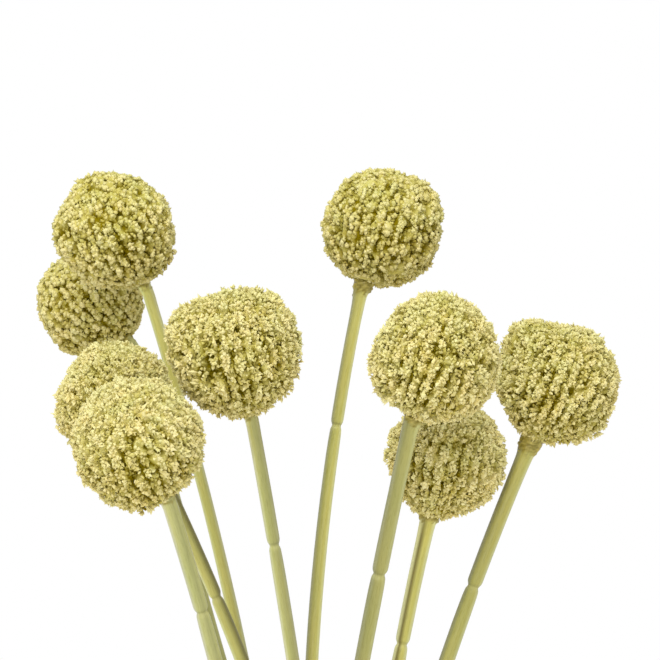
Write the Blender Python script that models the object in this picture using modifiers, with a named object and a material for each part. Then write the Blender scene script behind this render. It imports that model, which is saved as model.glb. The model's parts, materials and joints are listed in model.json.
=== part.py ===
"""Dried billy buttons in a vase.

Nine ball-shaped flower heads on bare stems stand in a plain round-bellied vase. The stems lean out over
the vase's throat, cross inside it and end on its floor. The origin is the centre of the vase's foot, on
the table, and +Z is up. The script works in metres; the design values below are in millimetres.
"""

import math
import random
from collections import namedtuple

import bmesh
import bpy
from mathutils import Vector

MM = 0.001
COLLECTION = "dried_billy_buttons_in_vase"

# Vase, a turned shape.
BELLY_RADIUS = 50.0
BELLY_HEIGHT = 40.0
BELLY_DEPTH = 61.0          # half height of the ellipse that runs from the belly down to the foot
THROAT_RADIUS = 22.0        # outside of the narrowest place
THROAT_HEIGHT = 90.0
LIP_HEIGHT = 96.0           # where the lip turns over
LIP_FLARE = 4.2             # how far the outside widens from the throat to the lip
WALL = 3.6
FLOOR_HEIGHT = 6.0          # top of the floor inside
FOOT_RADIUS = 38.0
FOOT_HEIGHT = 2.5
FOOT_WIDTH = 5.0            # the ring that the vase stands on
FOOT_EDGE = 0.5             # its broken edge
FOOT_RECESS = 1.5
VASE_STEPS = 40             # facets round the vase
BELLY_RINGS = 12            # and up it
LIP_RINGS = 3

# Stems.
GAP = 0.3                   # between pieces that touch
STEM_FLARE = 1.45           # width of the neck under the head, against the stem
FLARE_LENGTH = 11.0
NECK_LENGTH = 3.0           # the end that points straight at the middle of the head
NODE_LENGTH = 3.6           # the pinched node
NODE_PINCH = 0.72
STEM_STEP = 17.0            # between the points of a plain stretch
STEM_BEVEL = 2              # 8 sides

# Flower heads.
FLORET_HEIGHT = 1.5         # from the crevices to the tips
FLORET_JITTER = 0.35        # how unequal the tips are
BARE_PATCH = 4.6            # radius of the bare patch round the stem
SEED = 11

# One row a flower, from left to right, in millimetres. head is the centre of its ball, entry is where the
# stem meets the underside, in X and Y from that centre, and throat is where the stem passes the vase's
# throat. bow is how far the stem's middle bends towards -X, stem is its diameter, and node is how far
# down the stem the pinched node lies.
Flower = namedtuple("Flower", "head diameter entry throat bow stem node")
FLOWERS = [
    Flower((-55.5, 40.5, 212.0), 26.8, (9.1, -3.5), (-11.6, 10.7), 0.4, 2.9, 32.0),
    Flower((-47.0, 12.0, 230.8), 28.5, (6.3, 0.4), (-10.4, 4.0), -2.4, 2.7, 33.0),
    Flower((-46.1, -10.0, 194.2), 27.0, (7.2, 0.8), (-4.0, 1.8), -2.3, 3.1, 37.5),
    Flower((-39.1, -38.0, 187.9), 29.2, (5.8, 4.7), (-14.2, -7.2), -1.3, 3.3, 29.2),
    Flower((-18.7, -25.5, 206.6), 29.7, (3.4, 1.5), (0.2, -16.4), -0.7, 2.9, 30.5),
    Flower((14.5, 32.0, 230.5), 29.2, (-4.7, -1.8), (-3.0, 12.3), 3.6, 3.0, 34.4),
    Flower((24.5, -36.0, 205.8), 29.0, (-4.7, 2.3), (1.5, -12.4), 0.8, 3.5, 37.0),
    Flower((28.0, -8.0, 180.9), 27.9, (-3.7, -0.4), (10.7, -8.7), 1.0, 3.3, 30.4),
    Flower((53.2, -4.0, 197.7), 28.9, (-5.7, 0.2), (15.3, -4.2), 1.7, 3.5, 36.3),
]

GLAZE = (0.86, 0.85, 0.81)
STEM_GREEN = (0.52, 0.51, 0.17)
FLORET_YELLOW = (0.50, 0.44, 0.12)


def clear_scene():
    """Start from an empty file."""
    for item in list(bpy.data.objects):
        bpy.data.objects.remove(item, do_unlink=True)


def make_material(name, colour, roughness):
    """A Principled material; none of these surfaces is metal."""
    material = bpy.data.materials.new(name)
    material.use_nodes = True
    shader = material.node_tree.nodes["Principled BSDF"]
    shader.inputs["Base Color"].default_value = (*colour, 1.0)
    shader.inputs["Roughness"].default_value = roughness
    shader.inputs["Metallic"].default_value = 0.0
    return material


def outer_radius(height):
    """The vase's outside: an ellipse up to the belly, an S-curve up to the throat, then the flared lip."""
    if height <= BELLY_HEIGHT:
        return BELLY_RADIUS * math.sqrt(1.0 - ((BELLY_HEIGHT - height) / BELLY_DEPTH) ** 2)
    if height <= THROAT_HEIGHT:
        rise = (height - BELLY_HEIGHT) / (THROAT_HEIGHT - BELLY_HEIGHT)
        return THROAT_RADIUS + (BELLY_RADIUS - THROAT_RADIUS) * math.cos(rise * math.pi / 2) ** 2
    rise = (height - THROAT_HEIGHT) / (LIP_HEIGHT - THROAT_HEIGHT)
    return THROAT_RADIUS + LIP_FLARE * rise ** 1.5


def inner_point(height):
    """The point one wall thickness inside the outside, square to it."""
    step = 0.01
    slope = (outer_radius(height + step) - outer_radius(height - step)) / (2 * step)
    square = math.hypot(1.0, slope)
    return outer_radius(height) - WALL / square, height + WALL * slope / square


def wall_heights(bottom):
    """Heights up the wall, further apart in the belly than in the lip."""
    belly = [bottom + (THROAT_HEIGHT - bottom) * index / BELLY_RINGS for index in range(BELLY_RINGS)]
    lip = [THROAT_HEIGHT + (LIP_HEIGHT - THROAT_HEIGHT) * index / LIP_RINGS for index in range(LIP_RINGS + 1)]
    return belly + lip


def vase_profile():
    """Half the vase's section, from the middle of its floor up the inside and down the outside."""
    half_wall = WALL / 2
    inside = [inner_point(height) for height in wall_heights(FLOOR_HEIGHT)]
    inside = [point for point in inside if point[1] > FLOOR_HEIGHT + half_wall]
    floor_edge = (inside[0][0] - half_wall, FLOOR_HEIGHT)
    outside = [(outer_radius(height), height) for height in wall_heights(FOOT_HEIGHT)]
    inner_lip, outer_lip = Vector(inside[-1]), Vector(outside[-1])
    middle = (inner_lip + outer_lip) / 2
    across = outer_lip - middle
    upright = Vector((-across.y, across.x))
    rim = [middle - across * math.cos(turn) + upright * math.sin(turn)
           for turn in (math.radians(45), math.radians(90), math.radians(135))]
    ring_inside = FOOT_RADIUS - FOOT_WIDTH
    foot = [(FOOT_RADIUS, FOOT_HEIGHT - 2 * FOOT_EDGE), (FOOT_RADIUS, FOOT_EDGE), (FOOT_RADIUS - FOOT_EDGE, 0.0),
            (ring_inside, 0.0), (ring_inside - FOOT_EDGE, FOOT_RECESS), (0.0, FOOT_RECESS)]
    return ([(0.0, FLOOR_HEIGHT), floor_edge] + inside + [tuple(point) for point in rim]
            + outside[::-1] + foot)


def add_vase(collection):
    """Turn the section into the vase."""
    profile = vase_profile()
    mesh = bpy.data.meshes.new("vase")
    points = [(radius * MM, 0.0, height * MM) for radius, height in profile]
    edges = [(index, index + 1) for index in range(len(points) - 1)]
    mesh.from_pydata(points, edges, [])
    vase = bpy.data.objects.new("vase", mesh)
    collection.objects.link(vase)
    turn = vase.modifiers.new("turn", "SCREW")
    turn.steps = VASE_STEPS
    turn.render_steps = VASE_STEPS
    turn.use_merge_vertices = True
    turn.merge_threshold = 0.00005
    turn.use_smooth_shade = True
    mesh.materials.append(make_material("vase_glaze", GLAZE, 0.32))


def entry_direction(flower):
    """From the middle of the flower's ball to where the stem meets its underside."""
    radius = flower.diameter / 2
    across = Vector(flower.entry)
    drop = math.sqrt(radius ** 2 - across.length_squared)
    return Vector((*flower.entry, -drop)) / radius


def neck_point(flower, out):
    """A point on the neck, this far out from the bare patch that the stem meets."""
    bare_radius = flower.diameter / 2 - FLORET_HEIGHT
    return Vector(flower.head) + entry_direction(flower) * (bare_radius + out)


def stem_centre(flower, height):
    """The stem's axis at a height: bowed above the throat, and straight from there to the floor."""
    top = neck_point(flower, GAP + NECK_LENGTH)
    throat = Vector((*flower.throat, THROAT_HEIGHT))
    share = (height - THROAT_HEIGHT) / (top.z - THROAT_HEIGHT)
    point = throat + (top - throat) * share
    bend = share * (1.0 - share) if share > 0 else share
    point.x -= 4.0 * flower.bow * bend
    return point


def stem_widths(node, length):
    """Distances down from the neck's lower end, each with the stem's width against its plain width."""
    flare = [(0.0, 1.3), (FLARE_LENGTH * 0.3, 1.1), (FLARE_LENGTH, 1.0)]
    pinch = [(node - NODE_LENGTH / 2, 1.04), (node - 0.6, 0.86), (node, NODE_PINCH),
             (node + 0.6, 0.86), (node + NODE_LENGTH / 2, 1.04)]
    start = node + 2 * NODE_LENGTH
    count = math.ceil((length - start) / STEM_STEP)
    plain = [(start + (length - start) * index / count, 1.0) for index in range(count + 1)]
    return flare + pinch + plain


def add_stem(flower, name, collection, material):
    """A bare stem from the underside of its head to the vase's floor."""
    top = neck_point(flower, GAP + NECK_LENGTH)
    bottom = stem_centre(flower, FLOOR_HEIGHT)
    slant = (top - bottom).length / (top.z - bottom.z)
    lean = math.sqrt(1.0 - 1.0 / slant ** 2)
    foot_height = FLOOR_HEIGHT + GAP + flower.stem / 2 * lean

    curve = bpy.data.curves.new(name, "CURVE")
    curve.dimensions = "3D"
    curve.bevel_depth = flower.stem / 2 * MM
    curve.bevel_resolution = STEM_BEVEL
    curve.use_fill_caps = True
    spline = curve.splines.new("POLY")
    widths = stem_widths(flower.node - NECK_LENGTH, (top.z - foot_height) * slant)
    spline.points.add(len(widths))
    spline.points[0].co = (*(neck_point(flower, GAP) * MM), 1.0)
    spline.points[0].radius = STEM_FLARE
    for point, (down, width) in zip(spline.points[1:], widths):
        point.co = (*(stem_centre(flower, top.z - down / slant) * MM), 1.0)
        point.radius = width
    curve.materials.append(material)
    collection.objects.link(bpy.data.objects.new(name, curve))


def add_head(flower, name, collection, material, chance):
    """A ball of florets: every face of an icosphere rises to a tip, and the edges stay as crevices."""
    radius = flower.diameter / 2
    centre = Vector(flower.head)
    entry = entry_direction(flower)
    ball = bmesh.new()
    bmesh.ops.create_icosphere(ball, subdivisions=3, radius=radius - FLORET_HEIGHT)
    crevices = set(ball.verts)
    bmesh.ops.poke(ball, faces=ball.faces[:])
    for vertex in ball.verts:
        direction = vertex.co.normalized()
        bare = direction.angle(entry) * radius < BARE_PATCH
        if vertex in crevices or bare:
            reach = radius - FLORET_HEIGHT
        else:
            reach = radius - FLORET_JITTER * chance.random()
        vertex.co = direction * reach
    bmesh.ops.scale(ball, vec=(MM, MM, MM), verts=ball.verts)
    mesh = bpy.data.meshes.new(name)
    ball.to_mesh(mesh)
    ball.free()
    mesh.materials.append(material)
    head = bpy.data.objects.new(name, mesh)
    head.location = centre * MM
    collection.objects.link(head)


def build():
    """Make the vase, then a stem and a head for each flower."""
    clear_scene()
    collection = bpy.data.collections.new(COLLECTION)
    bpy.context.scene.collection.children.link(collection)
    chance = random.Random(SEED)
    add_vase(collection)
    stem_material = make_material("stem", STEM_GREEN, 0.55)
    head_material = make_material("florets", FLORET_YELLOW, 0.85)
    for number, flower in enumerate(FLOWERS, start=1):
        add_stem(flower, f"stem_{number}", collection, stem_material)
        add_head(flower, f"head_{number}", collection, head_material, chance)


build()
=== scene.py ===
"""Looks for the dried billy buttons in their vase.

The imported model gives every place: each head's ball, each stem's axis and widths, and the vase's section.
This script puts a ball of florets round each head, a ribbed and jointed stem round each axis and a glazed,
finely turned vase in place of the plain solids, and adds the table, the lights and the camera.
Lengths are in millimetres until they become vertices.
"""

import json
import math
from collections import namedtuple

import bmesh
import bpy
import numpy as np
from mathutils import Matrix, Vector, kdtree, noise

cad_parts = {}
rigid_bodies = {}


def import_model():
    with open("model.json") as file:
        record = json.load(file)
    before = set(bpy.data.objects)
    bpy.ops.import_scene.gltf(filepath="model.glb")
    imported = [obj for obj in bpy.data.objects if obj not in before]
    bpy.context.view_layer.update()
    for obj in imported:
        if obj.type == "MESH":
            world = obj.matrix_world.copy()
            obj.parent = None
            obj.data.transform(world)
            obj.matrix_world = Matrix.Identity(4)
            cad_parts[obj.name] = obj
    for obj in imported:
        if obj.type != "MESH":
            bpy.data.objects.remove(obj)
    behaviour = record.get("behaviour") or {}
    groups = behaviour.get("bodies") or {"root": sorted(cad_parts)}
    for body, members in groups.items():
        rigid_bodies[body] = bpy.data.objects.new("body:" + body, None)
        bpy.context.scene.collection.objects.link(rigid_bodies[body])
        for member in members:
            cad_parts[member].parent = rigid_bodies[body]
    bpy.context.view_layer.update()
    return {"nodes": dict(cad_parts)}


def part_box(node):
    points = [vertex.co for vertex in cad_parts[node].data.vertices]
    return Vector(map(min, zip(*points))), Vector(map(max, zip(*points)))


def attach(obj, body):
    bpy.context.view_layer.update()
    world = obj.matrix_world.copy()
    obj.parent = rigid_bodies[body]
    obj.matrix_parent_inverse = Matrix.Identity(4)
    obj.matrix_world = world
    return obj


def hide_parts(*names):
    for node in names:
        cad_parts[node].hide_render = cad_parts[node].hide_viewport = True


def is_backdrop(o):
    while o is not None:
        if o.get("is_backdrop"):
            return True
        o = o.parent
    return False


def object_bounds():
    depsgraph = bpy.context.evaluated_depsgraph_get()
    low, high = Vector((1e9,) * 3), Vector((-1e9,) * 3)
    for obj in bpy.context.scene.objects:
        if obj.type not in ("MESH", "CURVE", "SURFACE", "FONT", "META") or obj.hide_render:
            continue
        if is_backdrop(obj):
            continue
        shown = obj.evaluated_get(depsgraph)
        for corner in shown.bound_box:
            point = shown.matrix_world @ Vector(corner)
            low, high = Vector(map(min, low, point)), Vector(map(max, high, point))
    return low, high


MM = 0.001
FLOWERS = 9
SEED = 20

# Camera, in metres.
LOOK_AT = (0.002, 0.0, 0.209)
CAMERA_DISTANCE = 0.650
CAMERA_ELEVATION = 5.0          # degrees
FRAME_WIDTH = 0.1494            # at the target
SENSOR = 36.0

# Lights and surroundings, in metres and watts.
WORLD_STRENGTH = 0.58
Lamp = namedtuple("Lamp", "name place size power")
LAMPS = [Lamp("key", (-0.15, -0.45, 1.00), 0.60, 6.0), Lamp("fill", (-0.05, -0.90, 0.28), 0.60, 2.2)]
TABLE_SIZE = 6.0
TABLE_FADE = (0.28, 0.60)       # from the vase's middle to where the table top begins and ends to turn white
WHITE = (1.0, 1.0, 1.0, 1.0)

# Heads: a ball with clumps, with granules on them and with furrows that run up it from the neck.
BALL_SUBDIVISIONS = 5
BALL_JITTER = 0.16              # of its corners, in edges
CLUMPS = 420
GRANULES = 1110
CLUMP_SPREAD = 0.20             # how far the middles lie off their places, in spacings
GRANULE_SPREAD = 0.25
CLUMP_STRETCH = 1.6             # from the neck to the top
CLUMP_WIDTH = 0.4               # of a clump's rounded edge, in spacings
GRANULE_WIDTH = 0.85
CLUMP_DEPTH = 2.7               # of the crevices between them
GRANULE_DEPTH = 0.1
CLUMP_RISE = 0.8                # how unequal they are
GRANULE_RISE = 1.6
ROUGHER_FOOT = 0.25             # how much deeper the crevices are near the neck
FURROWS = 30
FURROW_WIDTH = 0.7              # of a furrow's slopes: at 1 they meet on the crest
FURROW_DEPTH = 1.8
FURROW_MIDDLE = 0.8             # share of that halfway up the ball
FURROW_FADE = 0.6               # what it loses from there to the top, and gains towards the neck
FURROW_LEAST = 0.25
SWELL = (1.6, 0.45)             # noise that makes the ball lumpy: its scale, and how far it moves a point
CLUMP_WAVERS = ((3.5, 0.05), (11.0, 0.018))     # noise that bends the clumps' borders, in the same way
GRANULE_WAVER = (20.0, 0.012)
FURROW_WAVER = (3.0, 0.05)
NOISE_LAYER = 20                # what tells one noise of a head from the next
LUMP_WIDTH = 0.45               # of the lumps in HEAD_LOOKS, in radians
TOP_RISE = 0.05                 # of the clumps' tops above the solid's ball
SKIN_DEPTH = 0.25               # of the ball under the florets' seats

# The opening that the stem's neck fills.
NECK_CLEAR = 0.3                # between the neck and the florets
FLORET_CLEAR = 0.1              # and what more the nearest florets keep
FLORET_HEIGHT = 1.5             # of the solids, between crevice and tip
HEM_DROP = 0.25                 # of the opening's edge below the solid's crevices
HEM_WIDTH = 2.2                 # of the round edge
SMOOTH_NECK = 4.0               # how far from the neck the relief reaches its full depth
LEAST_RELIEF = 0.3              # at the neck

# Florets: a few open stars, and mostly shrivelled chips.
FLORETS = 9000
FLORET_SPREAD = 0.35            # how far they lie off their places, in spacings
FLORET_SIZE = (0.32, 0.6)       # from the middle to a point
FLORET_TALL = (1.0, 2.2)        # height against size
FLORET_JITTER = 0.14            # how uneven their points are
FLORET_SCATTER = 0.25           # how far they turn by chance
FLORET_RISE = 0.1               # of their middles above the surface
CLUMP_LEAN = 13.0               # how far they turn away from their clump's middle
GRANULE_LEAN = 8.0
STAR_SHARE = 0.2
FACETED = 0.9                   # crisper heads have sharp-edged florets

# Plain heads: what changes on a head whose florets have closed to grains.
PLAIN_RISE = 0.65               # of the ball
PLAIN_SINK = 0.9                # of the florets
PLAIN_GRANULES = 0.7            # how much deeper the crevices between granules are
# Furrows are darkened with painted shade, less on plain heads.
PLAIN_FURROWS = 0.4             # how dark furrows are, against a crisp head's
PLAIN_WIDER = 0.7               # share by which florets are wider
PLAIN_SHORTER = 0.6
PLAIN_STRAIGHTER = 0.5          # share by which they lean less
PLAIN_REACH = 0.45              # of a floret whose tip and foot are alike

# Shades: level runs from 0 in the crevices, darkest with painted shade, to 1 at the tips, and hue from 0,
# greener, to 1, more golden.
DEEP = 3.0                      # depth at which a crevice is darkest
TIP = 0.29                      # how much lighter a floret's tip is than its foot
DEEP_TIP = 0.35                 # share of that in a crevice
CLUMP_TONE = 0.0                # how unequal the levels are; clumps are alike, but their draw is still made
GRANULE_TONE = 0.008
FLORET_TONE = 0.072
POINT_TONE = 0.05
# How dark the painted shade in the furrows is.
FURROW_TONE = 0.5
# Painted shade on the underside round the neck, and how far it reaches.
DARKER_NECK = 0.15
NECK_FADE = 3.0                 # how far the darker neck reaches
MIDDLE_HUE = 0.44
CLUMP_HUE = 0.02                # how unequal the hues are
GRANULE_HUE = 0.05
FLORET_HUE = 0.03
POINT_HUE = 0.01
GREENER_TOP = 0.11
PATCHES = (2.2, 0.13)           # noise that makes greener and more golden patches

# Stems.
STEM_SIDES = 24
STEM_RING = 8                   # vertices in each of the neck's two rings on a CAD stem
RING_GAP = 0.25                 # the rings after them lie further apart than this
PLAIN_RINGS = 4                 # the rings at the foot that give the plain width
RING_STEP = 2.0                 # between rings of the piece
FINE_STEP = 0.35                # and between them near the neck and the joint
LAST_STEP = 0.4                 # no ring is added nearer to the foot than this, but the one at the foot
FINE_NECK = 6.0
FINE_JOINT = 4.0
JOINT_SPAN = 2.5                # on either side of the joint, where the path ignores the solid's rings
WANDER = (0.045, 0.05)          # slow change of width: its scale, and its share of the width
RIBS = ((6, 0.012), (11, 0.008))    # waves round the stem, and their height against the radius
GROOVE_WIDTH = 0.24             # radians
GROOVE_DEPTH = 0.07             # against the radius
FLARE_REACH = 3.0               # of the widening under the head
# Painted light that makes the stem paler near the head, against the shade the head casts.
PALER_NECK = 0.28
PALE_REACH = 9.0                # of the paler neck
FIBRE_STRETCH = 14.0            # how long the fibres are
# The colours at these places hold painted light and shade: edges lighter or darker as the light falls on
# them.
COLOUR_PLACES = (-0.8, -0.46, 0.0, 0.46, 0.8)   # across the stem's front, from its left edge to its right
COLLAR_GRAIN = 1.9              # crumbs a millimetre in the crust under the head
COLLAR_RISE = 0.55              # how far they stand out
COLLAR_FRINGE = 1.6             # how uneven the crust's lower edge is
CRUMB = (206, 192, 104)
# Painted shade between the crumbs of the crust.
SHADE_BETWEEN_CRUMBS = (138, 124, 40)

# A joint's two sides: how deep and wide the notch is, and how much and how far the stem tapers into it.
Side = namedtuple("Side", "notch width taper reach")
ABOVE_JOINT = Side(0.27, 0.75, 0.03, 2.0)
BELOW_JOINT = Side(0.15, 0.5, 0.15, 2.6)

# Its bands of colour: a painted highlight on the pale swelling and a dark line, with how far below the joint
# each of them lies.
Band = namedtuple("Band", "colour share below width")
JOINT_BANDS = [Band((214, 210, 140), 0.35, 0.2, 0.7), Band((110, 104, 50), 0.35, -0.5, 0.25)]

# Vase.
VASE_SIDES = 128
VASE_CORNER = 0.5               # radians; a sharper bend in the section stays a corner
VASE_STEP = 1.2                 # longer steps of the section are divided
VASE_PARTS = 3                  # into this many
BARE_FOOT = 2.2                 # height of the clay that has no glaze
BARE_FADE = 0.4


def unit(vectors):
    """Vectors of length one."""
    return vectors / np.linalg.norm(vectors, axis=-1, keepdims=True)


def tangents(normals):
    """Two directions square to each normal."""
    helper = np.where(np.abs(normals[:, 2:3]) < 0.9, [[0.0, 0.0, 1.0]], [[1.0, 0.0, 0.0]])
    first = unit(np.cross(helper, normals))
    return first, np.cross(normals, first)


def linear(colour):
    """An sRGB colour of 0 to 255 as the shader wants it."""
    share = np.array(colour, float) / 255.0
    return np.where(share <= 0.04045, share / 12.92, ((share + 0.055) / 1.055) ** 2.4)


def socket_colour(colour):
    """The same with an alpha."""
    return (*linear(colour), 1.0)


def make_mesh(name, verts, faces, smooth=True):
    """A mesh object from points in millimetres and faces of one size; smooth may be one answer a face."""
    mesh = bpy.data.meshes.new(name)
    size = faces.shape[1]
    mesh.vertices.add(len(verts))
    mesh.vertices.foreach_set("co", (verts * MM).astype(np.float32).ravel())
    mesh.loops.add(faces.size)
    mesh.loops.foreach_set("vertex_index", faces.astype(np.int32).ravel())
    mesh.polygons.add(len(faces))
    mesh.polygons.foreach_set("loop_start", np.arange(len(faces), dtype=np.int32) * size)
    mesh.update(calc_edges=True)
    mesh.polygons.foreach_set("use_smooth", np.full(len(faces), smooth))
    piece = bpy.data.objects.new(name, mesh)
    bpy.context.scene.collection.objects.link(piece)
    return piece


def add_attribute(piece, name, values, kind="FLOAT"):
    """A value for each vertex, for the materials."""
    layer = piece.data.attributes.new(name, kind, "POINT")
    field = {"FLOAT": "value", "FLOAT_VECTOR": "vector", "FLOAT_COLOR": "color"}[kind]
    layer.data.foreach_set(field, np.asarray(values, np.float32).ravel())


def add_map(piece, places):
    """A UV map for the export, from a place for each face's corners."""
    layer = piece.data.uv_layers.new(name="OFBake")
    layer.data.foreach_set("uv", places.astype(np.float32).ravel())


def merged(node):
    """A CAD node's faces with their corners joined, as a bmesh."""
    solid = bmesh.new()
    solid.from_mesh(node.data)
    bmesh.ops.remove_doubles(solid, verts=solid.verts, dist=0.00001)
    return solid


def distances(points):
    """How far along a line of points each of them lies."""
    steps = np.linalg.norm(np.diff(points, axis=0), axis=1)
    return np.concatenate([[0.0], np.cumsum(steps)])


def smooth_path(points, down, at):
    """A smooth curve through points that lie down along it, read at other distances."""
    slopes = np.gradient(points, down, axis=0)
    index = np.clip(np.searchsorted(down, at, side="right") - 1, 0, len(down) - 2)
    gap = (down[index + 1] - down[index])[:, None]
    t = (at - down[index])[:, None] / gap
    start, end = points[index], points[index + 1]
    leaving, coming = slopes[index] * gap, slopes[index + 1] * gap
    return ((2 * t ** 3 - 3 * t ** 2 + 1) * start + (t ** 3 - 2 * t ** 2 + t) * leaving
            + (-2 * t ** 3 + 3 * t ** 2) * end + (t ** 3 - t ** 2) * coming)


def round_corners(sides):
    """The angles of a tube's corners."""
    return 2 * math.pi * np.arange(sides) / sides


def add_tube(name, verts, rings, sides, first, last):
    """Rings of vertices joined into a closed tube, with a UV map that goes round it and along it."""
    faces = []
    for row in range(rings - 1):
        for column in range(sides):
            after = (column + 1) % sides
            here, below = row * sides, (row + 1) * sides
            faces.append((here + column, here + after, below + column))
            faces.append((here + after, below + after, below + column))
    top, bottom, base = rings * sides, rings * sides + 1, (rings - 1) * sides
    for column in range(sides):
        after = (column + 1) % sides
        faces.append((top, after, column))
        faces.append((bottom, base + column, base + after))
    faces = np.array(faces)
    piece = make_mesh(name, np.vstack([verts, first, last]), faces)
    column = np.where(faces >= top, np.nan, faces % sides)
    wraps = (np.nanmax(column, axis=1) - np.nanmin(column, axis=1) > sides / 2)[:, None]
    column = column + sides * (wraps & (column < sides / 2))
    column = np.where(faces >= top, np.nanmean(column, axis=1)[:, None], column)
    row = np.where(faces == top, -1.0, np.where(faces == bottom, float(rings), faces // sides))
    add_map(piece, np.stack([column / sides, (row + 1) / (rings + 1)], axis=2))
    return piece


# ---------------------------------------------------------------- materials

class Nodes:
    """A short way to build a material's nodes."""

    def __init__(self, name, roughness):
        self.material = bpy.data.materials.new(name)
        self.material.use_nodes = True
        self.tree = self.material.node_tree
        self.shader = self.tree.nodes["Principled BSDF"]
        self.shader.inputs["Roughness"].default_value = roughness

    def add(self, kind, **settings):
        node = self.tree.nodes.new(kind)
        for key, value in settings.items():
            setattr(node, key, value)
        return node

    def link(self, source, target):
        self.tree.links.new(source, target)

    def attribute(self, name):
        return self.add("ShaderNodeAttribute", attribute_name=name).outputs

    def ramp(self, source, stops):
        """Colours at places from 0 to 1."""
        node = self.add("ShaderNodeValToRGB")
        elements = node.color_ramp.elements
        while len(elements) < len(stops):
            elements.new(0.5)
        for element, (place, colour) in zip(elements, stops):
            element.position = place
            element.color = socket_colour(colour)
        self.link(source, node.inputs["Fac"])
        return node.outputs["Color"]

    def noise(self, vector, scale, detail=4.0, roughness=0.6):
        node = self.add("ShaderNodeTexNoise")
        node.inputs["Scale"].default_value = scale
        node.inputs["Detail"].default_value = detail
        node.inputs["Roughness"].default_value = roughness
        self.link(vector, node.inputs["Vector"])
        return node.outputs["Fac"]

    def mix(self, blend, share, first, second):
        """Two colours mixed; each input is a plain value or another node's output."""
        node = self.add("ShaderNodeMix", data_type="RGBA", blend_type=blend)
        for index, value in ((0, share), (6, first), (7, second)):      # the sockets of an RGBA mix
            if isinstance(value, (float, tuple)):
                node.inputs[index].default_value = value
            else:
                self.link(value, node.inputs[index])
        return node.outputs[2]

    def span(self, source, low, high):
        """source stretched so that low to high becomes 0 to 1."""
        node = self.add("ShaderNodeMapRange")
        node.inputs["From Min"].default_value = low
        node.inputs["From Max"].default_value = high
        self.link(source, node.inputs["Value"])
        return node.outputs["Result"]

    def bump(self, height, strength, distance):
        node = self.add("ShaderNodeBump")
        node.inputs["Strength"].default_value = strength
        node.inputs["Distance"].default_value = distance
        self.link(height, node.inputs["Height"])
        self.link(node.outputs["Normal"], self.shader.inputs["Normal"])


def floret_material():
    """Dry florets: olive with painted shade in the crevices and pale straw at the tips, some greener and some
    more golden.
    """
    nodes = Nodes("dry_florets", 0.85)
    nodes.shader.inputs["Specular IOR Level"].default_value = 0.1
    # The dark end of the level's ramp is painted shade for the crevices.
    depth = nodes.ramp(nodes.attribute("level")["Fac"], [
        (0.18, (136, 119, 0)), (0.41, (206, 193, 101)), (0.75, (234, 222, 154)), (1.0, (242, 231, 170))])
    cast = nodes.ramp(nodes.attribute("hue")["Fac"], [
        (0.0, (234, 246, 236)), (0.5, (250, 250, 250)), (1.0, (255, 242, 200))])
    nodes.link(nodes.mix("MULTIPLY", 1.0, depth, cast), nodes.shader.inputs["Base Color"])
    return nodes.material


def stem_material():
    """A dry stem: the tint goes round and along it, with fine fibres and a faint groove darkened with painted
    shade.
    """
    nodes = Nodes("dry_stem", 0.5)
    nodes.shader.inputs["Specular IOR Level"].default_value = 0.35
    grain = nodes.attribute("grain")["Vector"]
    fibres = nodes.noise(grain, 5.0, 5.0, 0.65)
    patches = nodes.noise(grain, 0.6, 2.0, 0.5)
    tint = nodes.attribute("tint")["Color"]
    shade = nodes.ramp(fibres, [(0.30, (236, 235, 228)), (0.50, (247, 247, 245)), (0.72, (255, 255, 255))])
    cast = nodes.ramp(patches, [(0.30, (243, 246, 238)), (0.50, (252, 252, 251)), (0.75, (255, 251, 240))])
    colour = nodes.mix("MULTIPLY", 1.0, tint, shade)
    colour = nodes.mix("MULTIPLY", 1.0, colour, cast)
    # Painted shade in the groove.
    colour = nodes.mix("MIX", nodes.attribute("groove")["Fac"], colour, socket_colour((104, 92, 44)))
    nodes.link(colour, nodes.shader.inputs["Base Color"])
    nodes.link(nodes.span(fibres, 0.3, 0.8), nodes.shader.inputs["Roughness"])
    nodes.bump(fibres, 0.35, 0.0001)
    return nodes.material


def glaze_material():
    """Off-white satin glaze: warm and cool drifts, a few tiny specks, and the bare clay of the foot."""
    nodes = Nodes("satin_glaze", 0.32)
    place = nodes.add("ShaderNodeTexCoord").outputs["Object"]
    drift = nodes.noise(place, 28.0, 3.0, 0.5)
    fine = nodes.noise(place, 900.0, 3.0, 0.7)
    body = nodes.ramp(drift, [(0.3, (232, 229, 220)), (0.7, (241, 239, 232))])
    specks = nodes.ramp(fine, [(0.70, (255, 255, 255)), (0.78, (206, 196, 176))])
    colour = nodes.mix("MULTIPLY", 1.0, body, specks)
    colour = nodes.mix("MIX", nodes.attribute("bare")["Fac"], colour, socket_colour((205, 188, 160)))
    nodes.link(colour, nodes.shader.inputs["Base Color"])
    nodes.link(nodes.ramp(nodes.attribute("bare")["Fac"], [(0.0, (150, 150, 150)), (1.0, (225, 225, 225))]),
               nodes.shader.inputs["Roughness"])
    nodes.bump(drift, 0.25, 0.0006)
    return nodes.material
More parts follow.
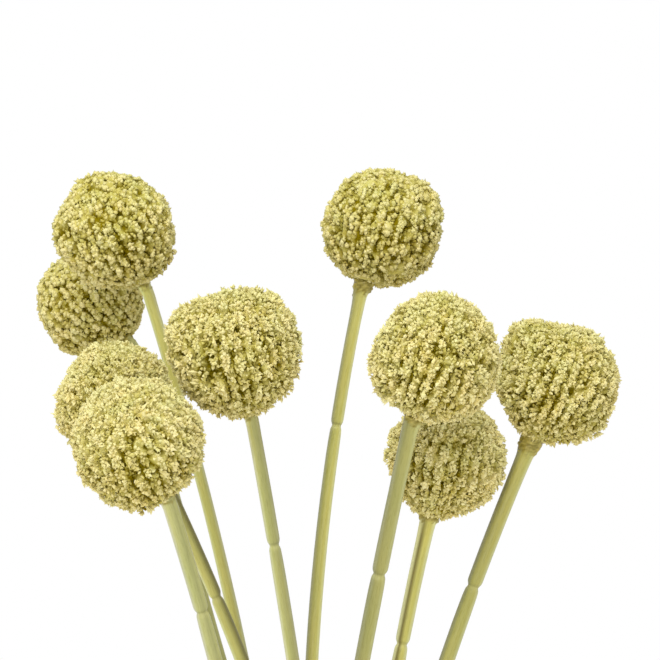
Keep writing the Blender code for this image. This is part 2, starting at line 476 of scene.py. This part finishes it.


# ---------------------------------------------------------------- heads

# How each head looks: how crisp its florets are, how much lighter it is than the others, partly its own
# colour and partly painted light that lifts heads lying in the others' shade, how much lighter its top is
# with painted light from above (darker where that is below 0), and where it bulges or falls short of a ball,
# as the angle seen from the front, anticlockwise from the right, and the millimetres.
HeadLook = namedtuple("HeadLook", "crisp tone bleach lumps")
HEAD_LOOKS = [
    HeadLook(0.25, 0.01, 0.0, [(240, 1.1), (210, -0.2), (180, -0.2), (150, 0.6)]),
    HeadLook(0.3, -0.01, -0.05, [(180, 1.5), (150, -0.4), (120, 1.1), (90, -0.4), (45, -0.5), (0, -0.8),
                                 (330, 1.1)]),
    HeadLook(1.0, 0.02, 0.06, [(210, 1.0), (180, 0.2), (150, -1.1)]),
    HeadLook(1.0, 0.03, 0.13, [(300, -1.6), (275, 1.5), (240, -0.4), (210, 0.1), (30, -0.3), (0, 0.4)]),
    HeadLook(1.0, 0.02, 0.02, [(270, 0.2), (150, 1.7), (120, -1.0), (90, -0.4), (60, 0.6), (30, 0.1),
                               (0, -0.2), (330, 0.4)]),
    HeadLook(0.3, 0.0, -0.04, [(300, 0.3), (210, 0.3), (180, 0.5), (150, -0.3), (120, 0.3), (90, 0.2),
                               (30, 1.0), (0, -0.3), (330, 0.3)]),
    HeadLook(1.0, 0.03, 0.0, [(240, -1.6), (210, 0.7), (180, -0.1), (150, -0.9), (120, -0.3), (90, 0.6),
                              (60, -0.1)]),
    HeadLook(1.0, 0.07, 0.06, [(330, 0.2), (300, -0.3)]),
    HeadLook(1.0, -0.01, 0.03, [(150, 0.7), (120, 2.1), (90, -1.3), (60, -0.3), (0, -0.4), (330, -0.2),
                                (300, 1.2)]),
]

# A head before it is made: entry points from its centre to its stem, and neck is the radius of that stem.
Bloom = namedtuple("Bloom", "number centre radius entry neck look chance")

# Its surface in many directions: how far each lies from the neck's edge, how far out it is and how deep
# below the tops, its level and hue, and which way a floret leans there.
Surface = namedtuple("Surface", "away out depth tone hue lean")

# Some of its mesh, with a level and a hue for each vertex.
Part = namedtuple("Part", "verts faces level hue")

# A floret's outline: its vertices, its faces and how far out each vertex reaches, from 0 to 1.
Shape = namedtuple("Shape", "verts faces reach")


def spacing(count):
    """How far apart so many directions lie on a ball of radius one."""
    return math.sqrt(4.0 * math.pi / count)


def lattice(count, pole, jitter, chance):
    """Directions spread over a ball in spirals about a pole, each a little off its place."""
    step = np.arange(count) + 0.5
    height = 1.0 - 2.0 * step / count
    turn = step * math.pi * (3.0 - math.sqrt(5.0))
    ring = np.sqrt(1.0 - height ** 2)
    spiral = np.c_[ring * np.cos(turn), ring * np.sin(turn), height]
    across, along = tangents(pole[None])
    spiral = spiral @ np.vstack([across, along, pole[None]])
    return unit(spiral + chance.normal(0.0, jitter * spacing(count), spiral.shape))


def stretch(points, axis, factor):
    """Points stretched along an axis."""
    return points + (factor - 1.0) * (points @ axis)[:, None] * axis


def cells(points, centres, shoulder):
    """How high each point stands on the rounded cell round its nearest centre, and that centre's index."""
    tree = kdtree.KDTree(len(centres))
    for index, centre in enumerate(centres):
        tree.insert(centre, index)
    tree.balance()
    found = [tree.find_n(point, 2) for point in points]
    border = np.array([pair[1][2] - pair[0][2] for pair in found])
    nearest = np.array([pair[0][1] for pair in found])
    share = np.clip(border / (spacing(len(centres)) * shoulder), 0.0, 1.0)
    return np.sqrt(1.0 - (1.0 - share) ** 2), nearest


def waver(points, offset, scale, amount):
    """How far smooth noise moves each point."""
    place = Vector((offset * 7.1, 3.3, 1.7))
    return amount * np.array([noise.noise_vector(Vector(point) * scale + place) for point in points])


def swell(points, offset, scale, amount):
    """How far smooth noise raises each point."""
    place = Vector((4.1, offset * 3.7, 9.0))
    return amount * np.array([noise.noise(Vector(point) * scale + place) for point in points])


def bulge(points, lumps):
    """How far the lumps stand out at each point."""
    out = np.zeros(len(points))
    for angle, rise in lumps:
        turn = math.radians(angle)
        away = np.arccos(np.clip(points @ np.array([math.cos(turn), 0.0, math.sin(turn)]), -1.0, 1.0))
        out += rise * np.exp(-(away / LUMP_WIDTH) ** 2)
    return out


def furrows(points, axis, offset):
    """How deep each point lies, from 0 to 1, in the furrows that run up the ball from its neck."""
    across, along = tangents(axis[None])
    bent = points + waver(points, offset, *FURROW_WAVER)
    turn = np.arctan2(bent @ along[0], bent @ across[0])
    share = np.clip(np.abs(np.sin(0.5 * FURROWS * turn)) / FURROW_WIDTH, 0.0, 1.0)
    return (1 - share) * np.clip(FURROW_MIDDLE + FURROW_FADE * (points @ axis), FURROW_LEAST, 1.0)


def surface_at(points, clumps, granules, bloom):
    """The head's surface in the directions of the points, with the given middles of clumps and granules."""
    number, entry, look, chance = bloom.number, bloom.entry, bloom.look, bloom.chance
    plain = 1.0 - look.crisp
    bent = points + sum(waver(points, number + NOISE_LAYER * layer, *noises)
                        for layer, noises in enumerate(CLUMP_WAVERS))
    clump, clump_of = cells(stretch(bent, entry, 1 / CLUMP_STRETCH),
                            stretch(clumps, entry, 1 / CLUMP_STRETCH), CLUMP_WIDTH)
    bent = points + waver(points, number + 2 * NOISE_LAYER, *GRANULE_WAVER)
    granule, granule_of = cells(bent, granules, GRANULE_WIDTH)
    furrow = furrows(points, entry, number)
    away = np.arccos(np.clip(points @ entry, -1.0, 1.0)) * bloom.radius - bloom.neck - NECK_CLEAR

    top = (bloom.radius + TOP_RISE + PLAIN_RISE * plain + swell(points, number, *SWELL)
           + bulge(points, look.lumps))
    clump_sunk = -chance.uniform(-1.0, 0.0, CLUMPS) * CLUMP_RISE
    granule_sunk = -chance.uniform(-1.0, 0.0, GRANULES) ** 3 * GRANULE_RISE
    sunk = (FURROW_DEPTH * furrow
            + CLUMP_DEPTH * (1 + ROUGHER_FOOT * (points @ entry)) * (1 - clump) + clump_sunk[clump_of]
            + (GRANULE_DEPTH + PLAIN_GRANULES * plain) * (1 - granule) + granule_sunk[granule_of])
    out = top - sunk * np.clip(away / SMOOTH_NECK, LEAST_RELIEF, 1.0)
    hem = (bloom.radius - FLORET_HEIGHT - HEM_DROP
           + HEM_WIDTH * np.sqrt(np.clip(away / HEM_WIDTH, 0.0, 1.0)))
    out = np.where(away < HEM_WIDTH, np.minimum(out, hem), out)

    # The tone holds the head's own lightness and random differences between clumps and granules, with painted
    # light on the top and painted shade in the furrows and round the neck.
    shade = PLAIN_FURROWS + (1 - PLAIN_FURROWS) * look.crisp
    tone = (look.tone + look.bleach * points[:, 2] + FURROW_TONE * shade * (furrow.mean() - furrow)
            - DARKER_NECK * np.exp(-np.maximum(away, 0.0) / NECK_FADE)
            + chance.normal(0.0, CLUMP_TONE, CLUMPS)[clump_of]
            + chance.normal(0.0, GRANULE_TONE, GRANULES)[granule_of])
    hue = (MIDDLE_HUE - GREENER_TOP * points[:, 2] + waver(points, number + 3 * NOISE_LAYER, *PATCHES)[:, 0]
           + chance.normal(0.0, CLUMP_HUE, CLUMPS)[clump_of]
           + chance.normal(0.0, GRANULE_HUE, GRANULES)[granule_of])
    lean = (CLUMP_LEAN * (points - clumps[clump_of]) + GRANULE_LEAN * (points - granules[granule_of]))
    return Surface(away, out, top - out, tone, hue, lean * (1 - PLAIN_STRAIGHTER * plain))


def lightness(depth):
    """1 at the tops and 0 in the deepest crevices, where painted shade darkens the florets."""
    return np.clip(1.0 - depth / DEEP, 0.0, 1.0)


def cone(rim, low, high):
    """A closed fan over and under a rim of points; each point, and high, ends in how far out it reaches."""
    sides = len(rim)
    verts = np.array([(0.0, 0.0, high[0])] + [point[:3] for point in rim] + [(0.0, 0.0, low)])
    reach = np.array([high[1]] + [point[3] for point in rim] + [0.0])
    faces = []
    for side in range(sides):
        here, after = 1 + side, 1 + (side + 1) % sides
        faces += [(0, here, after), (sides + 1, after, here)]
    return Shape(verts, np.array(faces), reach)


def star():
    """An open floret: three pointed lobes round a hollow."""
    rim = []
    for lobe in range(3):
        turn = 2 * math.pi * lobe / 3
        rim.append((math.cos(turn), math.sin(turn), 0.75, 1.0))
        turn += math.pi / 3
        rim.append((0.42 * math.cos(turn), 0.42 * math.sin(turn), 0.30, 0.35))
    return cone(rim, -1.4, (0.22, 0.25))


def chip():
    """A shrivelled floret: an uneven chip with six points."""
    rim = [(0.8, 0.0, 0.15, 0.75), (0.0, 0.8, -0.05, 0.55), (-0.8, 0.0, 0.15, 0.75), (0.0, -0.8, -0.05, 0.55)]
    return cone(rim, -1.3, (0.85, 1.0))


def unit_ball(subdivisions):
    """Points and faces of an icosphere."""
    ball = bmesh.new()
    bmesh.ops.create_icosphere(ball, subdivisions=subdivisions, radius=1.0)
    verts = np.array([vertex.co[:] for vertex in ball.verts])
    faces = np.array([[vertex.index for vertex in face.verts] for face in ball.faces])
    ball.free()
    return verts, faces


def grow_florets(florets, seat, bloom):
    """The stars and then the chips that grow in the given directions, seated on the surface there."""
    look, chance = bloom.look, bloom.chance
    plain = 1.0 - look.crisp
    normal = unit(florets + seat.lean + chance.normal(0.0, FLORET_SCATTER * look.crisp, florets.shape))
    first, second = tangents(normal)
    spin = chance.uniform(0.0, 2 * math.pi, FLORETS)[:, None]
    across = np.cos(spin) * first + np.sin(spin) * second
    along = np.cross(normal, across)
    size = chance.uniform(*FLORET_SIZE, FLORETS)[:, None, None] * (1 + PLAIN_WIDER * plain)
    lowest, tallest = FLORET_TALL
    tall = (lowest + (tallest - lowest) * chance.random(FLORETS) ** 3)[:, None, None]
    tall = tall * (1 - PLAIN_SHORTER * plain)
    is_star = chance.random(FLORETS) < STAR_SHARE * look.crisp
    kept = seat.away > FLORET_CLEAR
    middles = florets * (seat.out + FLORET_RISE - PLAIN_SINK * plain)[:, None]
    # Florets deeper in the crevices get darker with painted shade.
    height = lightness(seat.depth)
    tone = seat.tone + chance.normal(0.0, FLORET_TONE * look.crisp, FLORETS)
    hue = seat.hue + chance.normal(0.0, FLORET_HUE, FLORETS)
    for shape, chosen in ((star(), is_star & kept), (chip(), ~is_star & kept)):
        index = np.flatnonzero(chosen)
        corners = len(shape.verts)
        local = shape.verts[None] * (1 + chance.normal(0.0, FLORET_JITTER, (len(index), corners, 3)))
        verts = middles[index, None] + size[index] * (local[..., :1] * across[index, None]
                                                      + local[..., 1:2] * along[index, None]
                                                      + local[..., 2:] * tall[index] * normal[index, None])
        faces = shape.faces[None] + corners * np.arange(len(index))[:, None, None]
        high = height[index, None]
        tip = TIP * (shape.reach * look.crisp + PLAIN_REACH * plain)
        level = high * (1 - TIP) + tip * (DEEP_TIP + (1 - DEEP_TIP) * high) + tone[index, None]
        level = level + chance.normal(0.0, POINT_TONE * look.crisp, level.shape)
        yield Part(verts.reshape(-1, 3), faces.reshape(-1, 3), level.ravel(), np.repeat(hue[index], corners))


def add_head(name, bloom, material):
    """A ball of clumps and granules covered with florets, open round the stem's neck."""
    entry, chance = bloom.entry, bloom.chance
    ball, ball_faces = unit_ball(BALL_SUBDIVISIONS)
    edge = spacing(len(ball_faces)) * 2 / 3 ** 0.25      # of triangles of equal sides that cover the ball
    ball = unit(ball + chance.normal(0.0, BALL_JITTER * edge, ball.shape))
    clumps = unit(stretch(lattice(CLUMPS, entry, CLUMP_SPREAD, chance), entry, CLUMP_STRETCH))
    granules = lattice(GRANULES, entry, GRANULE_SPREAD, chance)
    florets = lattice(FLORETS, entry, FLORET_SPREAD, chance)
    surface = surface_at(np.vstack([ball, florets]), clumps, granules, bloom)
    skin = Surface(*[values[:len(ball)] for values in surface])
    seat = Surface(*[values[len(ball):] for values in surface])
    # The ball under the florets gets painted shade by its depth.
    level = lightness(skin.depth + SKIN_DEPTH) * (1 - TIP) + skin.tone
    parts = [Part(ball * (skin.out - SKIN_DEPTH)[:, None], ball_faces, level, skin.hue),
             *grow_florets(florets, seat, bloom)]

    starts = np.cumsum([0] + [len(part.verts) for part in parts])
    verts = np.concatenate([part.verts for part in parts]) + np.array(bloom.centre)
    faces = np.concatenate([part.faces + start for part, start in zip(parts, starts)])
    level = np.concatenate([part.level for part in parts])
    hue = np.concatenate([part.hue for part in parts]) + chance.normal(0.0, POINT_HUE, len(level))
    level, hue = np.clip(level, 0.0, 1.0), np.clip(hue, 0.0, 1.0)
    smooth = (np.arange(len(faces)) < len(ball_faces)) | (bloom.look.crisp < FACETED)
    piece = make_mesh(name, verts, faces, smooth)
    add_attribute(piece, "level", level)
    add_attribute(piece, "hue", hue)
    add_map(piece, np.c_[hue, level][faces])
    piece.data.materials.append(material)
    return piece


# ---------------------------------------------------------------- stems

def stem_rings(node):
    """The middles and radii of a CAD stem's rings, in millimetres, from its neck down."""
    tube = merged(node)
    points = np.array([vertex.co[:] for vertex in tube.verts]) / MM
    tube.free()
    centre = points.mean(0)
    main = np.linalg.svd(points - centre)[2][0]
    main = main * np.sign(main[2])
    down = -(points - centre) @ main
    order = np.argsort(down)
    points, down = points[order], down[order]
    starts = np.flatnonzero(np.diff(down) > RING_GAP) + 1
    neck = [STEM_RING, 2 * STEM_RING]
    rings = np.split(points, neck + [start for start in starts if start > neck[-1]])
    middles = np.array([ring.mean(0) for ring in rings])
    radii = np.array([np.linalg.norm(ring - middle, axis=1).mean() for ring, middle in zip(rings, middles)])
    return middles, radii


def plain_radius(radii):
    """The radius of the plain stretch at a stem's foot."""
    return np.median(radii[-PLAIN_RINGS:])


def stations(length, joint):
    """Distances down a stem at which it gets a ring, close together at its neck and its joint."""
    at = [0.0]
    while at[-1] < length - LAST_STEP:
        near = at[-1] < FINE_NECK or abs(at[-1] - joint) < FINE_JOINT
        at.append(min(at[-1] + (FINE_STEP if near else RING_STEP), length))
    return np.array(at)


# How each stem looks: how light it is at the five places across its front, partly its own colour and partly
# painted light and shade on edges that the light reaches or misses, how much blue there is against red at its
# left edge, its middle and its right edge, how much it widens under the head, how far down the crust of
# florets reaches, and its groove, darkened with painted shade: how strong it is, and where it runs round the
# stem, from 0 towards the viewer to 0.25 on the right.
StemLook = namedtuple("StemLook", "tones blues flare collar groove groove_at")
STEM_LOOKS = [
    StemLook((205, 190, 180, 170, 190), (0.78, 0.62, 0.66), 0.15, 1.8, 0.0, 0.0),
    StemLook((235, 215, 205, 195, 205), (0.70, 0.55, 0.74), 0.1, 1.8, 0.0, 0.0),
    StemLook((235, 210, 200, 165, 145), (0.70, 0.57, 0.57), 0.1, 1.8, 0.5, 0.16),
    StemLook((220, 200, 185, 170, 195), (0.81, 0.65, 0.67), 0.08, 2.0, 0.0, 0.0),
    StemLook((230, 190, 170, 165, 180), (0.78, 0.61, 0.74), 0.1, 1.9, 0.0, 0.0),
    StemLook((160, 170, 190, 205, 235), (0.73, 0.54, 0.70), 0.55, 3.4, 0.2, -0.22),
    StemLook((165, 150, 165, 175, 200), (0.76, 0.57, 0.68), 0.1, 1.8, 0.15, -0.2),
    StemLook((220, 160, 195, 200, 230), (0.76, 0.51, 0.72), 0.25, 2.4, 0.85, -0.075),
    StemLook((155, 180, 180, 185, 210), (0.71, 0.53, 0.69), 0.55, 4.7, 0.2, -0.24),
]


def stem_colours(look):
    """The linear colours across a stem's front, partly its own and partly painted light and shade; the paler
    ones are greener too.
    """
    left, middle, right = look.blues
    return np.array([linear((tone, tone * min(0.84 + 0.24 * blue, 1.0), tone * blue))
                     for tone, blue in zip(look.tones, (left, middle, middle, middle, right))])


def joint_width(below):
    """A stem's width near its joint, against its plain width: a pinch that swells back slowly below it."""
    above, under = [1 - side.notch * np.exp(-(below / side.width) ** 2)
                    - side.taper * np.exp(-np.abs(below) / side.reach) for side in (ABOVE_JOINT, BELOW_JOINT)]
    return np.where(below < 0, above, under)


def collar(verts, at, look):
    """How much each corner of each ring lies in the crust under the head, and how much on a crumb in it."""
    crust = np.zeros(verts.shape[:2])
    crumbs = np.zeros(verts.shape[:2])
    for row in np.flatnonzero(at < look.collar + 2.0):
        rough = np.array([noise.noise(Vector(point) * COLLAR_GRAIN) for point in verts[row]])
        fringe = np.array([noise.noise(Vector(point) * 0.7 * COLLAR_GRAIN) for point in verts[row]])
        crust[row] = np.clip(look.collar - at[row] + COLLAR_FRINGE * fringe, 0.0, 1.0)
        crumbs[row] = crust[row] * np.clip(0.5 + 1.2 * rough, 0.0, 1.0)
    return crust[..., None], crumbs[..., None]


def blend(tint, share, colour):
    """Colours with a share of another laid over them."""
    return tint * (1 - share) + share * colour


def stem_tint(look, at, below, turn, crust, crumbs):
    """The colour of each corner of each ring: painted light and shade across the front and painted light near
    the neck, the joint's bands, and the crust with painted shade between its crumbs.
    """
    colours = stem_colours(look)
    # Painted light and shade across the front.
    front = np.stack([np.interp(np.sin(turn), COLOUR_PLACES, channel) for channel in colours.T], axis=1)
    # Painted light near the neck.
    tint = front[None] * (1 + PALER_NECK * np.exp(-at / PALE_REACH))[:, None, None]
    for band in JOINT_BANDS:
        share = band.share * np.exp(-((below - band.below) / band.width) ** 2)[:, None, None]
        tint = blend(tint, share, linear(band.colour))
    # The crust's crumbs, with painted shade between them.
    return blend(tint, crust, blend(linear(SHADE_BETWEEN_CRUMBS), crumbs, linear(CRUMB)))


def with_ends(values):
    """Values for the rings' corners, and then for the tube's two ends."""
    return np.vstack([values.reshape(-1, values.shape[-1]), values[0, 0], values[-1, 0]])


def add_stem(name, node, look, number, material):
    """A faintly ribbed stem with one joint, widened under its head."""
    middles, radii = stem_rings(node)
    down = distances(middles)
    joint = down[np.argmin(radii)]
    at = stations(down[-1], joint)
    below = at - joint
    keep = np.abs(down - joint) > JOINT_SPAN
    path = smooth_path(middles[keep], down[keep], at)
    direction = unit(np.gradient(path, at, axis=0))
    across = unit(np.cross(direction, np.array([0.0, 1.0, 0.0])))
    facing = np.cross(across, direction)
    turn = round_corners(STEM_SIDES)
    ring = np.sin(turn)[None, :, None] * across[:, None] - np.cos(turn)[None, :, None] * facing[:, None]

    scale, amount = WANDER
    wander = amount * np.array([noise.noise(Vector((number * 3.1, 0.0, place * scale))) for place in at])
    width = joint_width(below) * (1 + look.flare * np.exp(-at / FLARE_REACH)) * (1 + wander)
    ribs = 1 + sum(height * np.cos(waves * turn + (order + 1) * number)
                   for order, (waves, height) in enumerate(RIBS))
    from_groove = np.angle(np.exp(1j * (turn - 2 * math.pi * look.groove_at)))
    groove = look.groove * np.exp(-(from_groove / GROOVE_WIDTH) ** 2)
    radius = plain_radius(radii) * width[:, None] * (ribs - GROOVE_DEPTH * groove)[None]
    verts = path[:, None] + radius[..., None] * ring
    crust, crumbs = collar(verts, at, look)
    verts = (verts + COLLAR_RISE * crumbs * ring).reshape(-1, 3)
    piece = add_tube(name, verts, len(at), STEM_SIDES, path[0], path[-1])

    rows = (len(at), STEM_SIDES)
    tint = stem_tint(look, at, below, turn, crust, crumbs)
    opaque = np.concatenate([tint, np.ones((*rows, 1))], axis=2)
    add_attribute(piece, "tint", with_ends(opaque), "FLOAT_COLOR")
    grain = np.stack([np.broadcast_to(1.2 * np.sin(turn), rows), np.broadcast_to(1.2 * np.cos(turn), rows),
                      np.broadcast_to((at / FIBRE_STRETCH)[:, None], rows)], axis=2) + number * 5.0
    add_attribute(piece, "grain", with_ends(grain), "FLOAT_VECTOR")
    shade = groove[None] * np.clip(at / FINE_NECK, 0, 1)[:, None]
    add_attribute(piece, "groove", np.concatenate([shade.ravel(), [0.0, 0.0]]))
    piece.data.materials.append(material)
    return piece


# ---------------------------------------------------------------- vase

def vase_section(node):
    """The CAD vase's section, from the middle of its floor up the inside and down the outside."""
    shell = merged(node)
    column = {vertex for vertex in shell.verts if abs(vertex.co.y) < 1e-6 and vertex.co.x > 0.0}
    ends = [vertex for vertex in column
            if sum(edge.other_vert(vertex) in column for edge in vertex.link_edges) == 1]
    here = max(ends, key=lambda vertex: vertex.co.z)
    section = [(0.0, here.co.z / MM)]
    while here:
        column.discard(here)
        section.append((here.co.x / MM, here.co.z / MM))
        near = [edge.other_vert(here) for edge in here.link_edges]
        here = next((vertex for vertex in near if vertex in column), None)
    section.append((0.0, section[-1][1]))
    shell.free()
    return np.array(section)


def add_vase(name, node, material):
    """The vase turned finely from its own section, whose corners stay where they are."""
    section = vase_section(node)
    down = distances(section)
    heading = np.unwrap(np.arctan2(*np.diff(section, axis=0).T[::-1]))
    corner = np.concatenate([[True], np.abs(np.diff(heading)) >= VASE_CORNER, [True]])
    at = []
    for index, step in enumerate(np.diff(down)):
        divided = step > VASE_STEP and not corner[index] and not corner[index + 1]
        parts = VASE_PARTS if divided else 1
        at += list(down[index] + step * np.arange(parts) / parts)
    at = np.array(at + [down[-1]])
    path = smooth_path(section, down, at)
    turn = round_corners(VASE_SIDES)
    out, up = path[1:-1, :1], path[1:-1, 1:]
    verts = np.stack([out * np.cos(turn), out * np.sin(turn), up + 0 * turn], axis=2).reshape(-1, 3)
    piece = add_tube(name, verts, len(out), VASE_SIDES, (0, 0, path[0, 1]), (0, 0, path[-1, 1]))
    height = np.concatenate([verts[:, 2], [path[0, 1], path[-1, 1]]])
    add_attribute(piece, "bare", np.clip((BARE_FOOT - height) / BARE_FADE, 0, 1))
    piece.data.materials.append(material)
    return piece


# ---------------------------------------------------------------- studio

def add_lamp(lamp):
    """A square soft light that faces the flowers."""
    light = bpy.data.lights.new(lamp.name, "AREA")
    light.shape = "SQUARE"
    light.size = lamp.size
    light.energy = lamp.power
    seat = bpy.data.objects.new(lamp.name, light)
    seat.location = lamp.place
    aim = Vector(LOOK_AT) - Vector(lamp.place)
    seat.rotation_euler = aim.to_track_quat("-Z", "Y").to_euler()
    bpy.context.scene.collection.objects.link(seat)


def add_world():
    """White surroundings for the camera and in reflections, and the same at a lower level for the light."""
    world = bpy.data.worlds.new("studio")
    bpy.context.scene.world = world
    world.use_nodes = True
    tree = world.node_tree
    lit = tree.nodes["Background"]
    lit.inputs["Color"].default_value = WHITE
    lit.inputs["Strength"].default_value = WORLD_STRENGTH
    seen = tree.nodes.new("ShaderNodeBackground")
    seen.inputs["Color"].default_value = WHITE
    seen.inputs["Strength"].default_value = 1.0
    rays = tree.nodes.new("ShaderNodeLightPath")
    either = tree.nodes.new("ShaderNodeMath")
    either.operation = "MAXIMUM"
    mirrored = tree.nodes.new("ShaderNodeMath")
    mirrored.operation = "MAXIMUM"
    mix = tree.nodes.new("ShaderNodeMixShader")
    tree.links.new(rays.outputs["Is Glossy Ray"], mirrored.inputs[0])
    tree.links.new(rays.outputs["Is Transmission Ray"], mirrored.inputs[1])
    tree.links.new(rays.outputs["Is Camera Ray"], either.inputs[0])
    tree.links.new(mirrored.outputs[0], either.inputs[1])
    tree.links.new(either.outputs[0], mix.inputs["Fac"])
    tree.links.new(lit.outputs[0], mix.inputs[1])
    tree.links.new(seen.outputs[0], mix.inputs[2])
    tree.links.new(mix.outputs[0], tree.nodes["World Output"].inputs["Surface"])


def add_floor():
    """A pale table top that fades into the white surroundings away from the vase."""
    bpy.ops.mesh.primitive_plane_add(size=TABLE_SIZE)
    floor = bpy.context.object
    floor.name = "table_top"
    nodes = Nodes("pale_table", 0.7)
    place = nodes.add("ShaderNodeTexCoord").outputs["Object"]
    length = nodes.add("ShaderNodeVectorMath", operation="LENGTH")
    nodes.link(place, length.inputs[0])
    fade = nodes.span(length.outputs["Value"], *TABLE_FADE)
    grain = nodes.noise(place, 160.0)
    nodes.link(nodes.ramp(grain, [(0.3, (236, 235, 232)), (0.7, (242, 241, 239))]),
               nodes.shader.inputs["Base Color"])
    rays = nodes.add("ShaderNodeLightPath")
    seen = nodes.add("ShaderNodeMath", operation="MAXIMUM")
    nodes.link(rays.outputs["Is Camera Ray"], seen.inputs[0])
    nodes.link(rays.outputs["Is Glossy Ray"], seen.inputs[1])
    share = nodes.add("ShaderNodeMath", operation="MULTIPLY")
    nodes.link(seen.outputs[0], share.inputs[0])
    nodes.link(fade, share.inputs[1])
    glow = nodes.add("ShaderNodeEmission")
    glow.inputs["Color"].default_value = WHITE
    glow.inputs["Strength"].default_value = 1.0
    mix = nodes.add("ShaderNodeMixShader")
    nodes.link(share.outputs[0], mix.inputs["Fac"])
    nodes.link(nodes.shader.outputs[0], mix.inputs[1])
    nodes.link(glow.outputs[0], mix.inputs[2])
    nodes.link(mix.outputs[0], nodes.tree.nodes["Material Output"].inputs["Surface"])
    floor.data.materials.append(nodes.material)
    floor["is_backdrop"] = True


def add_camera():
    """Slightly above the heads and looking down at them; the frame cuts the stems above the vase."""
    camera = bpy.data.cameras.new("camera")
    camera.sensor_width = SENSOR
    camera.lens = SENSOR * CAMERA_DISTANCE / FRAME_WIDTH
    seat = bpy.data.objects.new("camera", camera)
    rise = math.radians(CAMERA_ELEVATION)
    target = Vector(LOOK_AT)
    seat.location = target + CAMERA_DISTANCE * Vector((0.0, -math.cos(rise), math.sin(rise)))
    seat.rotation_euler = (target - seat.location).to_track_quat("-Z", "Y").to_euler()
    bpy.context.scene.collection.objects.link(seat)
    bpy.context.scene.camera = seat


# ---------------------------------------------------------------- the object

for item in list(bpy.data.objects):
    bpy.data.objects.remove(item, do_unlink=True)
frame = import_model()
noise.seed_set(SEED)            # noise vectors would change from run to run without it

florets = floret_material()
stalks = stem_material()
for number in range(1, FLOWERS + 1):
    head_node, stem_node = f"head_{number}", f"stem_{number}"
    stem_look = STEM_LOOKS[number - 1]
    low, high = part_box(head_node)
    centre = (low + high) / 2 / MM
    middles, radii = stem_rings(frame["nodes"][stem_node])
    bloom = Bloom(number, centre, radius=max(high - low) / 2 / MM, entry=unit(middles[0] - np.array(centre)),
                  neck=plain_radius(radii) * (1 + stem_look.flare), look=HEAD_LOOKS[number - 1],
                  chance=np.random.default_rng(SEED + number))
    head = add_head(f"flower_head_{number}", bloom, florets)
    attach(head, "root")
    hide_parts(head_node)
    stem = add_stem(f"flower_stem_{number}", frame["nodes"][stem_node], stem_look, number, stalks)
    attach(stem, "root")
    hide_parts(stem_node)

vase = add_vase("glazed_vase", frame["nodes"]["vase"], glaze_material())
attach(vase, "root")
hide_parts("vase")

add_world()
for lamp in LAMPS:
    add_lamp(lamp)
add_floor()
add_camera()
bpy.context.scene.view_settings.view_transform = "Standard"

low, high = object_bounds()
